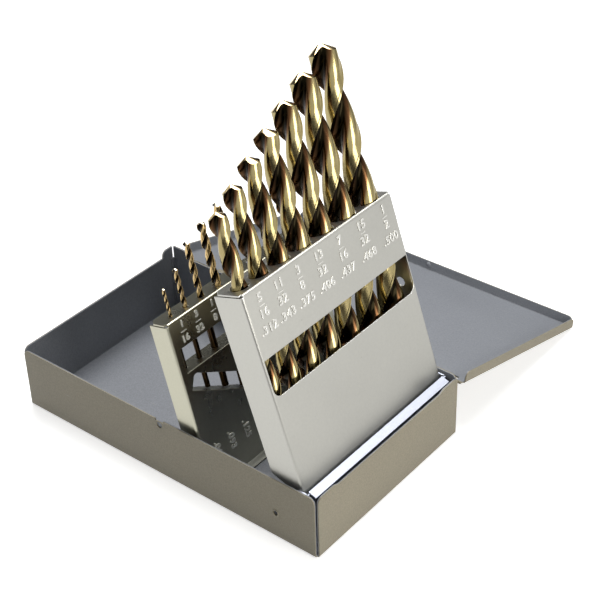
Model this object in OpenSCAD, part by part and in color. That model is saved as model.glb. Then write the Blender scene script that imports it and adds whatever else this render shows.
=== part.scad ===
// Folding metal drill bit case: a shallow sheet steel tray with a hinged lid and two sheet racks that
// stand up out of it. The front rack holds the seven thick drills and the rear rack the eight thin ones.
// Millimetres. +X runs along the tray (the racks fold down towards -X), +Y from the front wall to the
// hinge, +Z up. The origin is the centre of the tray's underside. The case is drawn open and in use.

/* [Tray] */
// Outside width of the tray, along Y
tray_w = 103; // [98:1:120]
// Height of the tray's walls
tray_h = 32; // [32:0.5:40]
// Thickness of the tray's and the lid's steel
sheet = 0.9; // [0.6:0.1:1.1]
// Outside radius of the bend at the foot of a wall
bend_r = 1.2; // [1.2:0.1:1.6]
// How far each wall's end stops short of the corner, which leaves the open seam
corner_gap = 1.25; // [1.2:0.05:2]
// Radius of the walls' free corners
corner_r = 3; // [1:0.5:4]
// Height of the ear at the left end of the hinge wall, over the rim
ear_rise = 3.8; // [3.2:0.2:6]
// Length of the ear along the hinge wall
ear_back_len = 11; // [6:0.5:14]
// Length of the ear along the left wall
ear_side_len = 8; // [5:0.5:12]
// Radius of the ear's free corner
ear_r = 3; // [1:0.5:3]
// Depth of the long relief in the right wall's rim
relief_depth = 1.2; // [0.5:0.1:2]
// Length of that relief
relief_len = 79; // [40:1:85]
// Width of the notch in the middle of the front rim
snap_notch_w = 4.6; // [3:0.2:8]
// Depth of that notch
snap_notch_depth = 1; // [0.5:0.1:2]

/* [Lid] */
// Height of the lid's lips, with the sheet
lip_h = 5.5; // [4:0.5:8]
// Room between a lip and the tray's wall when the lid is shut
lid_gap = 0.4; // [0.3:0.1:0.8]
// Room between the shut lid and the tray's rim
lid_seat = 0.1; // [0.1:0.05:0.3]
// Radius of the lips' free corners
lip_r = 2.5; // [1:0.5:3]
// How far the left slot of the hinge edge reaches in from the tray's left end
slot_left_len = 28.5; // [20:0.5:29]
// How far the right slot of the hinge edge reaches in from the tray's right end
slot_right_len = 22; // [10:0.5:23]
// Radius of the bump that snaps onto the front wall
bump_r = 1.3; // [1:0.1:1.8]
// How far the bump stands out of the lip
bump_h = 0.8; // [0.5:0.1:1.2]
// Distance from the bump's middle to the lip's free edge
bump_edge = 1.7; // [1.5:0.1:1.7]

/* [Hinge] */
// Radius of the hinge pin
pin_r = 1; // [0.8:0.1:1.2]
// Radial play of the hinge pin and of the rivets
pin_play = 0.05; // [0.03:0.01:0.08]
// Distance from the tray's left end to the first knuckle
knuckle_left = 29.5; // [29.5:0.5:40]
// Distance from the last knuckle to the tray's right end
knuckle_right = 24; // [24:0.5:40]
// Number of knuckles, the first and the last on the tray
knuckles = 5; // [5:2:9]
// Gap between two knuckles
knuckle_gap = 0.4; // [0.3:0.1:0.8]

/* [Racks] */
// Thickness of the racks' and the brackets' steel
rack_sheet = 0.8; // [0.6:0.1:0.9]
// Outside radius of the racks' bends
rack_bend = 1.2; // [1.1:0.1:1.6]
// Room between the side of a rack and the outside of the tray
rack_side = 2.6; // [2.6:0.1:4]
// Room beside a rack for its bracket
ear_play = 0.1; // [0.05:0.05:0.2]
// Radial room round a drill in its hole
hole_play = 0.3; // [0.2:0.05:0.35]
// Room under a drill
rest_play = 0.05; // [0.03:0.01:0.1]

/* [Front rack] */
// Lean of the raised front rack
front_tilt = 18.3; // [14:0.1:24]
// Depth of the front rack from its face to its back edge
front_depth = 15.5; // [15:0.1:15.7]
// Distance from its pivot to the outside of the right wall
front_pivot_in = 10.2; // [9.8:0.1:11]
// Drop of its pivot below the rim
front_pivot_drop = 3.4; // [3.2:0.1:3.8]
// Distance from the pivot forward to the face
front_face = 2.2; // [2.2:0.1:2.4]
// Length of drill hidden below the top of the front rack
front_hold = 82; // [70:0.5:90]
// Distance from the face back to the row of drills
front_row = 7.5; // [7.4:0.1:7.8]
// Distance from the top down to the window
front_window_top = 29.5; // [24:0.5:34]
// Height of the window
front_window_h = 17; // [10:0.5:20]
// Radius of the window's lower corners
front_window_r = 4; // [2:0.5:5]
// Room between the folded drills' longest tip and the left wall; the tray's length follows from it
tip_gap = 0.5; // [0.3:0.1:1.5]
// Height of the shelf that the drills stand on above the pivot; the tray's length follows from it
front_rest = 9; // [7:0.5:30]
// Radius of the hole in its right side
side_hole_r = 2.2; // [1.5:0.1:3]
// Distance from the top down to that hole
side_hole_down = 43; // [36:0.5:50]

/* [Rear rack] */
// Lean of the raised rear rack
rear_tilt = 14.3; // [10:0.1:18]
// Depth of the rear rack
rear_depth = 10.3; // [10:0.1:10.4]
// Distance from its pivot to the outside of the right wall
rear_pivot_in = 63.2; // [61:0.1:64]
// Height of its pivot over the tray's underside
rear_pivot_z = 10; // [9.9:0.1:10.2]
// Distance from the pivot forward to the face
rear_face = 2.6; // [2.4:0.1:2.7]
// Height of its top above the pivot
rear_top = 75; // [70:0.5:78]
// Length of its face below the pivot
rear_foot = 6.5; // [5.9:0.1:6.8]
// Distance from the face back to the row of drills
rear_row = 4.9; // [4.8:0.1:5.2]
// Length of the thinnest drill below the top
rear_hold_first = 34.8; // [30:0.2:38]
// Length of the thickest of its drills below the top
rear_hold_last = 75; // [70:0.2:76]
// Distance from the top down to the upper window
rear_window_top = 13.1; // [10:0.1:16]
// Height of the upper window
rear_window_h = 11.6; // [8:0.1:12]
// Margin at the ends of the windows
rear_margin = 4; // [3:0.5:5]
// Height of the slanted window over the shelf, square to its slope
slant_h = 7.6; // [5:0.1:8.5]

/* [Brackets] */
// Distance from the front bracket's upright to the outside of the right wall
strip_in = 6.8; // [6:0.1:7]
// Width of the bright top strip
strip_w = 4; // [3:0.1:4.5]
// Fall of the strip towards the wall, in degrees
strip_fall = 20; // [0:1:30]
// Drop of the strip's top below the rim
strip_drop = 0.9; // [0.6:0.1:2]
// Radius of the pivot ears
pivot_ear_r = 2.2; // [2:0.1:2.2]
// Half the length of the rear bracket's foot
rear_foot_half = 6; // [4:0.5:9]
// Radius of a rivet's shank
rivet_r = 1; // [0.8:0.1:1.1]
// Radius of a rivet's outer head
rivet_head_r = 1.9; // [1.6:0.1:2]
// Thickness of a rivet's outer head
rivet_head_h = 0.5; // [0.3:0.1:0.6]
// Radius of a rivet's inner head
rivet_end_r = 1.3; // [1.2:0.05:1.35]
// Distance from the rest bump on the front wall to the outside of the right wall
rest_bump_in = 22.1; // [21:0.1:40]
// Radius of the rest bump at the wall
rest_bump_r = 2; // [1.8:0.1:2.4]

/* [Drills] */
// Helix angle of the flutes
helix = 35; // [24:1:38]
// Point angle
point_angle = 118; // [118:1:135]
// Share of the radius that a flute takes
flute_share = 0.74; // [0.6:0.01:0.8]

/* [Hidden] */
$fn = 48;
eps = 0.01;

// Drill sizes go up by 1/32 inch from 1/16 inch; lengths are the jobber standard's, in inches
inch = 25.4;
rear_count = 8;
drill_count = 15;
first_size = 2;
drill_length_in = [1.875, 2.25, 2.75, 3.125, 3.5, 3.75, 4, 4.25, 4.5, 4.75, 5, 5.25, 5.5, 5.75, 6];
drill_flute_in = [0.875, 1.25, 1.625, 2, 2.3125, 2.5, 2.75, 2.9375, 3.5, 3.75, 4, 4.25, 4.5, 4.75, 5];
function drill_d(i) = inch * (i + first_size) / 32;
function drill_l(i) = inch * drill_length_in[i];
function drill_flute(i) = inch * drill_flute_in[i];

// The tray is as long as the longest drill lies in it when the front rack is folded down
tray_len = sheet + tip_gap + drill_l(drill_count - 1) + front_rest + front_pivot_in;

// Hinge axis: the pin lies behind the hinge wall, its rolls level with the rim
pin_bore = pin_r + pin_play;
roll_r = pin_bore + sheet;
hinge_y = tray_w / 2 + pin_bore;
hinge_z = tray_h - roll_r;
lid_in_z = tray_h + lid_seat;
lid_out_z = lid_in_z + sheet;
lid_half_x = tray_len / 2 + lid_gap + sheet;
lid_front_y = -(tray_w / 2 + lid_gap + sheet);
hinge_x0 = -tray_len / 2 + knuckle_left;
knuckle_len = (tray_len - knuckle_left - knuckle_right) / knuckles;
leaf_out = roll_r;
leaf_swing = norm([leaf_out - bend_r, lid_out_z - hinge_z - bend_r]) + bend_r;
swing_room = 0.3;

// The open lid leans back until the round of its far edge is this far over the table
table_gap = 0.1;
reach_y = hinge_y - lid_front_y - bend_r;
reach_z = lid_out_z - hinge_z - bend_r;
lid_drop = asin((hinge_z - bend_r - table_gap) / norm([reach_y, reach_z])) - atan2(reach_z, reach_y);
lid_open = 180 + lid_drop;

// The lid's slots clear the ear all the way round
ear_reach_back = norm([pin_bore + sheet, ear_rise + roll_r]) + swing_room;
slot_depth = sqrt(pow(ear_reach_back, 2) - pow(lid_in_z - hinge_z, 2));
ear_reach_side = norm([ear_side_len + pin_bore, ear_rise + roll_r]) + swing_room;
side_notch = sqrt(pow(ear_reach_side, 2) - pow(lid_in_z - hinge_z, 2));
leaf_gap = 0.4;
lid_edge_y = hinge_y - leaf_gap;
slot_end_r = 1.5;
corner_tongue = 3;
lip_cut = 2.5;

// Racks
rack_w = tray_w - 2 * rack_side;
rack_half = rack_w / 2;
inner_half = rack_half - rack_sheet;
pivot_bore = rivet_r + pin_play;
ear_in = rack_half + ear_play;
ear_out = ear_in + rack_sheet;

front_pivot_x = tray_len / 2 - front_pivot_in;
front_pivot_z = tray_h - front_pivot_drop;
front_top = front_rest + front_hold;
front_row_x = front_face - front_row;
front_back_x = front_face - front_depth;
front_window_low = front_top - front_window_top - front_window_h;
shelf_short = 0.6;

rear_pivot_x = tray_len / 2 - rear_pivot_in;
rear_row_x = rear_face - rear_row;
rear_back_x = rear_face - rear_depth;
rear_window_low = rear_top - rear_window_top - rear_window_h;
rear_tab_len = rear_depth - 1;
rear_shelf_len = 8.4;

// Middle of drill i across its rack: equal gaps between the drills and at both ends
function span(first, last) = last < first ? 0 : drill_d(last) + span(first, last - 1);
function row_gap(first, last) = (rack_w - span(first, last)) / (last - first + 2);
function row_y(first, last, i) =
    -rack_half + row_gap(first, last) * (i - first + 1) + span(first, i - 1) + drill_d(i) / 2;
function drill_y(i) = i < rear_count ? row_y(0, rear_count - 1, i)
                                     : row_y(rear_count, drill_count - 1, i);

// The rear rack's shelf is slanted: each drill stands on it with the side of its shank that is nearer -Y
shelf_y0 = drill_y(0) - drill_d(0) / 2;
shelf_y1 = drill_y(rear_count - 1) - drill_d(rear_count - 1) / 2;
shelf_slope = (rear_hold_last - rear_hold_first) / (shelf_y1 - shelf_y0);
shelf_angle = atan(shelf_slope);
function shelf_z(y) = rear_top - rear_hold_first - shelf_slope * (y - shelf_y0);
function drill_rest(i) = (i < rear_count ? shelf_z(drill_y(i) - drill_d(i) / 2) : front_rest) + rest_play;

// Folded, the front rack lies on the rest bump
rest_bump_h = rack_side - sheet + rack_sheet;
rest_bump_end_r = rest_bump_r / 2;
rest_bump_slope = (rest_bump_r - rest_bump_end_r) / rest_bump_h;
rest_bump_top = rest_bump_r - rest_bump_slope * (rack_side - sheet);
folded_back_z = front_pivot_z + front_back_x;
rest_bump_z = folded_back_z - rest_bump_top - 0.1;
snap_z = lid_out_z - lip_h + bump_edge;

// Outline of a sheet wall with its free corners rounded, standing on y = 0
module wall_outline(len, height, r) {
    square([len, height - r]);
    translate([r, 0]) square([len - 2 * r, height]);
    for (x = [r, len - r]) translate([x, height - r]) circle(r);
}

// Section of a wall and the bend at its foot; the outside is on x = 0 and the foot on y = 0
module wall_section(height) {
    translate([0, bend_r]) square([sheet, height - bend_r]);
    intersection() {
        translate([bend_r, bend_r]) difference() {
            circle(bend_r);
            circle(bend_r - sheet);
        }
        square([bend_r, bend_r + eps]);
    }
}

// A folded wall along +X: outside on y = 0, foot on z = 0; children(0) is its outline
module folded_wall(len, height) {
    intersection() {
        rotate([90, 0, 90]) linear_extrude(len) wall_section(height);
        translate([0, bend_r + 1, 0]) rotate([90, 0, 0]) linear_extrude(bend_r + 2) children();
    }
}

// Ear that rises over the rim at the start of a wall
module ear_outline(len) {
    round_z = tray_h + ear_rise - ear_r;
    translate([0, tray_h / 2]) square([len, round_z - tray_h / 2]);
    translate([0, tray_h / 2]) square([len - ear_r, tray_h / 2 + ear_rise]);
    translate([len - ear_r, round_z]) circle(ear_r);
}

// Places children at knuckle i, as a prism along X of the knuckle's length
module at_knuckle(i, grow = 0) {
    translate([hinge_x0 + i * knuckle_len + knuckle_gap / 2 - grow, hinge_y, hinge_z])
        rotate([90, 0, 90]) linear_extrude(knuckle_len - knuckle_gap + 2 * grow) children();
}

module base_tray() {
    len_x = tray_len - 2 * corner_gap;
    len_y = tray_w - 2 * corner_gap;
    color("#7b7467") difference() {
        union() {
            translate([-tray_len / 2 + bend_r, -tray_w / 2 + bend_r, 0])
                cube([tray_len - 2 * bend_r, tray_w - 2 * bend_r, sheet]);
            translate([-len_x / 2, -tray_w / 2, 0])
                folded_wall(len_x, tray_h) wall_outline(len_x, tray_h, corner_r);
            translate([tray_len / 2, -len_y / 2, 0]) rotate([0, 0, 90])
                folded_wall(len_y, tray_h) wall_outline(len_y, tray_h, corner_r);
            translate([-tray_len / 2, len_y / 2, 0]) rotate([0, 0, -90])
                folded_wall(len_y, tray_h + ear_rise) {
                    union() {
                        wall_outline(len_y, tray_h, corner_r);
                        ear_outline(ear_side_len - corner_gap);
                    }
                }
            mirror([0, 1, 0]) translate([-len_x / 2, -tray_w / 2, 0])
                folded_wall(len_x, tray_h + ear_rise) {
                    union() {
                        wall_outline(len_x, tray_h, corner_r);
                        ear_outline(ear_back_len - corner_gap);
                    }
                }
            for (i = [0 : 2 : knuckles - 1]) at_knuckle(i) intersection() {
                circle(roll_r);
                translate([-pin_bore - sheet / 2, -roll_r - 1]) square(2 * roll_r + 2);
            }
            translate([tray_len / 2 - rest_bump_in, -tray_w / 2 + sheet, rest_bump_z])
                rotate([-90, 0, 0]) cylinder(h = rest_bump_h, r1 = rest_bump_r, r2 = rest_bump_end_r);
        }
        for (i = [0 : 2 : knuckles - 1]) at_knuckle(i, 1) circle(pin_bore);
        for (i = [1 : 2 : knuckles - 1]) at_knuckle(i, knuckle_gap)
            translate([-leaf_swing, -leaf_swing - swing_room]) square([2 * leaf_swing, 3 * leaf_swing]);
        relief_cut();
        translate([-snap_notch_w / 2, -tray_w / 2 - 1, tray_h - snap_notch_depth])
            cube([snap_notch_w, sheet + 2, snap_notch_depth + 1]);
        snap_seat();
        rest_bump_hollow();
    }
}

// Long shallow cut in the right wall's rim, with sloping ends
module relief_cut() {
    slope = 3;
    half = relief_len / 2;
    translate([tray_len / 2 - sheet - 1, 0, tray_h]) rotate([90, 0, 90]) linear_extrude(sheet + 2)
        polygon([[-half, 1], [-half, 0], [-half + slope, -relief_depth],
                 [half - slope, -relief_depth], [half, 0], [half, 1]]);
}

// Shallow round seat on the outside of the front wall for the lid's bump
module snap_seat() {
    seat_r = bump_r + 0.3;
    seat_depth = bump_h - lid_gap + 0.1;
    translate([0, -tray_w / 2 - 1, snap_z]) rotate([-90, 0, 0]) cylinder(h = seat_depth + 1, r = seat_r);
}

// The rest bump is pressed in from outside, so it is hollow
module rest_bump_hollow() {
    wall = 0.75;
    translate([tray_len / 2 - rest_bump_in, -tray_w / 2 - eps, rest_bump_z]) rotate([-90, 0, 0])
        cylinder(h = sheet + rest_bump_h - wall, r1 = rest_bump_r - wall, r2 = rest_bump_end_r - wall / 2);
}

// The lid as it lies shut on the tray
module shut_lid() {
    len_x = 2 * lid_half_x - 2 * corner_gap;
    len_y = lid_edge_y - lid_front_y - corner_gap;
    difference() {
        union() {
            translate([-lid_half_x + bend_r, lid_front_y + bend_r, lid_in_z])
                cube([2 * (lid_half_x - bend_r), lid_edge_y - lid_front_y - bend_r, sheet]);
            translate([0, 0, lid_out_z]) mirror([0, 0, 1]) {
                translate([-len_x / 2, lid_front_y, 0])
                    folded_wall(len_x, lip_h) wall_outline(len_x, lip_h, lip_r);
                translate([lid_half_x, lid_front_y + corner_gap, 0]) rotate([0, 0, 90])
                    folded_wall(len_y, lip_h) wall_outline(len_y - lip_cut, lip_h, lip_r);
                mirror([1, 0, 0]) translate([lid_half_x, lid_front_y + corner_gap, 0]) rotate([0, 0, 90])
                    folded_wall(len_y, lip_h)
                        wall_outline(hinge_y - side_notch - lid_front_y - corner_gap, lip_h, lip_r);
            }
            for (i = [1 : 2 : knuckles - 1]) at_knuckle(i) lid_leaf_section();
            snap_bump();
        }
        for (i = [1 : 2 : knuckles - 1]) at_knuckle(i, 1) circle(pin_bore);
        left_slot();
        right_slot();
    }
}

// The lid's sheet runs over the rim, bends down behind it and rolls round the pin
module lid_leaf_section() {
    top = lid_out_z - hinge_z;
    circle(roll_r);
    translate([pin_bore, 0]) square([sheet, top - bend_r]);
    intersection() {
        translate([leaf_out - bend_r, top - bend_r]) difference() {
            circle(bend_r);
            circle(bend_r - sheet);
        }
        translate([leaf_out - bend_r - eps, top - bend_r - eps]) square(bend_r + 2 * eps);
    }
    translate([-1, top - sheet]) square([leaf_out - bend_r + 1, sheet]);
}

// Bump in the middle of the far lip that snaps onto the front wall
module snap_bump() {
    ball_r = (pow(bump_r, 2) + pow(bump_h, 2)) / (2 * bump_h);
    intersection() {
        translate([0, lid_front_y + sheet + bump_h - ball_r, snap_z]) sphere(ball_r);
        translate([-bump_r, lid_front_y + sheet / 2, snap_z - bump_r]) cube([2 * bump_r, 3, 2 * bump_r]);
    }
}

// Slot in the hinge edge beside the tray's ear, and the notch for the ear on the left wall
module left_slot() {
    x1 = -tray_len / 2 + slot_left_len;
    y0 = hinge_y - slot_depth;
    translate([-lid_half_x - 1, y0, lid_out_z - lip_h - 1]) linear_extrude(lip_h + 2) {
        square([x1 + lid_half_x + 1 - slot_end_r, slot_depth + 4]);
        translate([0, slot_end_r]) square([x1 + lid_half_x + 1, slot_depth + 4]);
        translate([x1 + lid_half_x + 1 - slot_end_r, slot_end_r]) circle(slot_end_r);
    }
    translate([-lid_half_x - 1, hinge_y - side_notch, lid_out_z - lip_h - 1])
        cube([lid_gap + 2 * sheet + 1.5, side_notch + 4, lip_h + 2]);
}

// Slot at the right end of the hinge edge
module right_slot() {
    x0 = tray_len / 2 - slot_right_len;
    width = slot_right_len - corner_tongue;
    translate([x0, hinge_y - slot_depth + 1, lid_in_z - 1]) linear_extrude(sheet + 2) {
        translate([0, slot_end_r]) square([width, slot_depth]);
        translate([slot_end_r, 0]) square([width - 2 * slot_end_r, slot_depth]);
        for (x = [slot_end_r, width - slot_end_r]) translate([x, slot_end_r]) circle(slot_end_r);
    }
}

module lid() {
    color("#8b8884") translate([0, hinge_y, hinge_z]) rotate([-lid_open, 0, 0])
        translate([0, -hinge_y, -hinge_z]) shut_lid();
}

module hinge_pin() {
    color("#9a9a98") translate([hinge_x0, hinge_y, hinge_z]) rotate([0, 90, 0])
        cylinder(h = knuckles * knuckle_len, r = pin_r);
}

// Rectangle with its front (x = 0) corners rounded, reaching back to x = -depth
module front_rounded(depth, w, r) {
    translate([-depth, -w / 2]) square([depth - r, w]);
    translate([-depth, -w / 2 + r]) square([depth, w - 2 * r]);
    for (s = [-1, 1]) translate([-r, s * (w / 2 - r)]) circle(r);
}

// U-shaped sheet channel: face on x = face, open at the back; children() is its side outline in x, z
module channel(face, depth, low, high) {
    intersection() {
        translate([face, 0, low]) linear_extrude(high - low) difference() {
            front_rounded(depth, rack_w, rack_bend);
            translate([-rack_sheet, 0]) front_rounded(depth, rack_w - 2 * rack_sheet, rack_bend - rack_sheet);
        }
        translate([0, rack_half + 1, 0]) rotate([90, 0, 0]) linear_extrude(rack_w + 2) children();
    }
}

// Top flange of a rack, bent back from the top of the face
module top_flange(face, depth, top) {
    chamfer = 2.5;
    translate([0, rack_half - rack_bend, 0]) rotate([90, 0, 0])
        linear_extrude(rack_w - 2 * rack_bend) intersection() {
            translate([face - rack_bend, top - rack_bend]) difference() {
                circle(rack_bend);
                circle(rack_bend - rack_sheet);
            }
            translate([face - rack_bend - eps, top - rack_bend - eps]) square(rack_bend + 2 * eps);
        }
    translate([0, 0, top - rack_sheet]) linear_extrude(rack_sheet)
        polygon([[face - rack_bend, -rack_half], [face - rack_bend, rack_half],
                 [face - depth + chamfer, rack_half], [face - depth, rack_half - chamfer],
                 [face - depth, -rack_half + chamfer], [face - depth + chamfer, -rack_half]]);
}

// Holes for drills first to last, upright at x, from z = low to z = high
module drill_holes(first, last, x, low, high) {
    for (i = [first : last]) translate([x, drill_y(i), low])
        cylinder(h = high - low, r = drill_d(i) / 2 + hole_play);
}

module in_front_rack() {
    translate([front_pivot_x, 0, front_pivot_z]) rotate([0, -front_tilt, 0]) children();
}

module in_rear_rack() {
    translate([rear_pivot_x, 0, rear_pivot_z]) rotate([0, -rear_tilt, 0]) children();
}

// Pivot bore through both sides of a rack
module pivot_bores() {
    translate([0, rack_half + 1, 0]) rotate([90, 0, 0]) cylinder(h = rack_w + 2, r = pivot_bore);
}

module front_rack() {
    high = front_top - rack_bend;
    window_half = rack_half - rack_bend;
    color("#c9c8c2") in_front_rack() difference() {
        union() {
            channel(front_face, front_depth, -front_face, high) {
                circle(front_face);
                polygon([[front_face, 0], [front_face, high], [front_back_x, high],
                         [front_back_x, front_rest - rack_sheet], [-front_face, 0]]);
            }
            top_flange(front_face, front_depth, front_top);
            // shelf that the shanks stand on
            translate([front_back_x + shelf_short, -inner_half, front_rest - rack_sheet])
                cube([front_depth - shelf_short - rack_sheet / 2, 2 * inner_half, rack_sheet]);
        }
        translate([front_face - rack_sheet - eps, 0, 0]) rotate([90, 0, 90])
            linear_extrude(rack_sheet + 1) translate([-window_half, front_window_low]) {
                translate([0, front_window_r]) square([2 * window_half, front_window_h - front_window_r]);
                translate([front_window_r, 0]) square([2 * (window_half - front_window_r), front_window_h]);
                for (y = [front_window_r, 2 * window_half - front_window_r])
                    translate([y, front_window_r]) circle(front_window_r);
            }
        drill_holes(rear_count, drill_count - 1, front_row_x, front_top - 2, front_top + 1);
        translate([front_row_x, inner_half - 1, front_top - side_hole_down])
            rotate([-90, 0, 0]) cylinder(h = rack_sheet + 2, r = side_hole_r);
        pivot_bores();
    }
}

// Slanted window over the rear rack's shelf, seen along X: y, z in the rack's own frame
module slanted_window() {
    r = 2;
    y0 = -rack_half + rear_margin;
    y1 = rack_half - rear_margin;
    len = (y1 - y0) / cos(shelf_angle);
    translate([y0, shelf_z(y0)]) rotate(-shelf_angle) {
        translate([r, 0]) square([len - 2 * r - slant_h * tan(shelf_angle), slant_h]);
        square([len - slant_h * tan(shelf_angle), slant_h - r]);
        for (x = [r, len - r - slant_h * tan(shelf_angle)]) translate([x, slant_h - r]) circle(r);
    }
}

module rear_rack() {
    high = rear_top - rack_bend;
    foot_chamfer = 1.5;
    window_half = rack_half - rear_margin;
    shelf_end = drill_y(rear_count - 1) + drill_d(rear_count - 1) / 2 + 0.3;
    shelf_start = -rack_half + rear_margin;
    shelf_len = (shelf_end - shelf_start) / cos(shelf_angle);
    color("#8d8c80") in_rear_rack() difference() {
        union() {
            channel(rear_face, rear_depth, -rear_foot, high)
                polygon([[rear_face, -rear_foot], [rear_face, high], [rear_back_x, high],
                         [rear_back_x, -foot_chamfer], [-foot_chamfer, -rear_foot]]);
            top_flange(rear_face, rear_depth, rear_top);
            // guide tab bent back from the lower edge of the upper window
            translate([rear_face - rear_tab_len, -window_half, rear_window_low - rack_sheet])
                cube([rear_tab_len - rack_sheet / 2, 2 * window_half, rack_sheet]);
            // slanted shelf bent back from the lower edge of the slanted window
            translate([rear_face - rear_shelf_len, shelf_start, shelf_z(shelf_start)])
                rotate([-shelf_angle, 0, 0]) translate([0, 0, -rack_sheet])
                    cube([rear_shelf_len - rack_sheet / 2, shelf_len, rack_sheet]);
        }
        translate([rear_face - rack_sheet - eps, -window_half, rear_window_low])
            cube([rack_sheet + 1, 2 * window_half, rear_window_h]);
        translate([rear_face - rack_sheet - eps, 0, 0]) rotate([90, 0, 90])
            linear_extrude(rack_sheet + 1) slanted_window();
        drill_holes(0, rear_count - 1, rear_row_x, rear_window_low - 2, rear_top + 1);
        pivot_bores();
    }
}

// Channel on the floor at the right end: foot, upright, bright top strip, and an ear at each end
module front_bracket() {
    x0 = tray_len / 2 - strip_in;
    top = tray_h - strip_drop;
    strip_half = rack_half - 1;
    ear_low = tray_h / 2;
    color("#f2f3f6") difference() {
        union() {
            translate([x0, -ear_out, sheet]) cube([strip_in - sheet - bend_r, 2 * ear_out, rack_sheet]);
            translate([x0, -ear_out, sheet]) cube([rack_sheet, 2 * ear_out, top - sheet - rack_sheet]);
            translate([x0, strip_half, top]) rotate([90, strip_fall, 0])
                linear_extrude(2 * strip_half) translate([0, -rack_sheet]) square([strip_w, rack_sheet]);
            for (s = [-1, 1]) translate([0, s * (ear_in + ear_out) / 2 + rack_sheet / 2, 0])
                rotate([90, 0, 0]) linear_extrude(rack_sheet) {
                    translate([front_pivot_x, front_pivot_z]) circle(pivot_ear_r);
                    polygon([[x0 + eps, ear_low], [x0 + eps, front_pivot_z + pivot_ear_r],
                             [front_pivot_x, front_pivot_z + pivot_ear_r],
                             [front_pivot_x - pivot_ear_r, front_pivot_z],
                             [front_pivot_x - pivot_ear_r, front_pivot_z - 3]]);
                }
        }
        for (s = [-1, 1]) translate([front_pivot_x, s * (ear_in + ear_out) / 2 + 2, front_pivot_z])
            rotate([90, 0, 0]) cylinder(h = 4, r = rivet_r);
    }
}

// Strap on the floor with an upturned ear at each end
module rear_bracket() {
    ear_r = rear_face;
    color("#b9b8b0") difference() {
        union() {
            translate([rear_pivot_x - rear_foot_half, -ear_out, sheet])
                cube([2 * rear_foot_half, 2 * ear_out, rack_sheet]);
            for (s = [-1, 1]) translate([rear_pivot_x, s * (ear_in + ear_out) / 2 + rack_sheet / 2, 0])
                rotate([90, 0, 0]) linear_extrude(rack_sheet) {
                    translate([0, rear_pivot_z]) circle(ear_r);
                    polygon([[-rear_foot_half, sheet], [rear_foot_half, sheet],
                             [ear_r, rear_pivot_z], [-ear_r, rear_pivot_z]]);
                }
        }
        for (s = [-1, 1]) translate([rear_pivot_x, s * (ear_in + ear_out) / 2 + 2, rear_pivot_z])
            rotate([90, 0, 0]) cylinder(h = 4, r = rivet_r);
    }
}

// Pair of rivets on a pivot axis: head outside the bracket's ear, small head inside the rack's side
module rivet_pair(x, z) {
    for (s = [0, 1]) mirror([0, s, 0]) translate([x, 0, z]) rotate([-90, 0, 0]) {
        translate([0, 0, inner_half - ear_play - rivet_head_h])
            cylinder(h = rivet_head_h, r = rivet_end_r);
        translate([0, 0, inner_half - ear_play - rivet_head_h / 2])
            cylinder(h = ear_out - inner_half + ear_play + rivet_head_h, r = rivet_r);
        translate([0, 0, ear_out]) cylinder(h = rivet_head_h, r = rivet_head_r);
    }
}

module front_rivets() {
    color("#b4b3ad") rivet_pair(front_pivot_x, front_pivot_z);
}

module rear_rivets() {
    color("#b4b3ad") rivet_pair(rear_pivot_x, rear_pivot_z);
}

// Points round a drill's section: two lands and two flutes; f is 0 on the shank and 1 in the flutes
function land_r(a, r, f) = r * (1 - f * flute_share * pow(pow(sin(a), 2), 1.3));
function ring(r, f, turn, z, n) =
    [for (k = [0 : n - 1]) let (a = 360 * k / n, q = land_r(a, r, f)) [q * cos(a + turn), q * sin(a + turn), z]];
function point_ring(r, turn, z, n) =
    [for (k = [0 : n - 1]) let (a = 360 * k / n, q = land_r(a, r, 1))
        [q * cos(a + turn), q * sin(a + turn), z - q / tan(point_angle / 2)]];

// Twist drill standing on z = 0: round shank, flutes that run out into it, and a conical point
module twist_drill(d, length, flute, n, turn_step) {
    r = d / 2;
    lead = PI * d / tan(helix);
    base = length - flute;
    tip_base = length - r / tan(point_angle / 2);
    steps = ceil(360 * (tip_base - base) / lead / turn_step);
    dz = (tip_base - base) / steps;
    run_out = 1.2 * d;
    turn_of = [for (j = [0 : steps]) 360 * j * dz / lead];
    points = concat(
        ring(r, 0, 0, 0, n),
        [for (j = [0 : steps - 1]) each ring(r, min(1, j * dz / run_out), turn_of[j], base + j * dz, n)],
        point_ring(r, turn_of[steps], length, n),
        [[0, 0, 0], [0, 0, length]]);
    rings = steps + 2;
    foot = rings * n;
    faces = concat(
        [for (j = [0 : rings - 2]) for (k = [0 : n - 1]) let (a = j * n + k, b = j * n + (k + 1) % n)
            [a, a + n, b]],
        [for (j = [0 : rings - 2]) for (k = [0 : n - 1]) let (a = j * n + k, b = j * n + (k + 1) % n)
            [b, a + n, b + n]],
        [for (k = [0 : n - 1]) [foot, k, (k + 1) % n]],
        [for (k = [0 : n - 1]) [foot + 1, (rings - 1) * n + (k + 1) % n, (rings - 1) * n + k]]);
    polyhedron(points, faces);
}

// Drill i where it stands in its rack, each turned a little further than the one before
module placed_drill(i) {
    thin = i < rear_count;
    sides = thin ? 12 : 16;
    turn_step = thin ? 45 : 36;
    spin = 40 * i;
    row_x = thin ? rear_row_x : front_row_x;
    color("#a8823c") {
        if (thin) in_rear_rack() translate([row_x, drill_y(i), drill_rest(i)]) rotate([0, 0, spin])
            twist_drill(drill_d(i), drill_l(i), drill_flute(i), sides, turn_step);
        else in_front_rack() translate([row_x, drill_y(i), drill_rest(i)]) rotate([0, 0, spin])
            twist_drill(drill_d(i), drill_l(i), drill_flute(i), sides, turn_step);
    }
}

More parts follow.
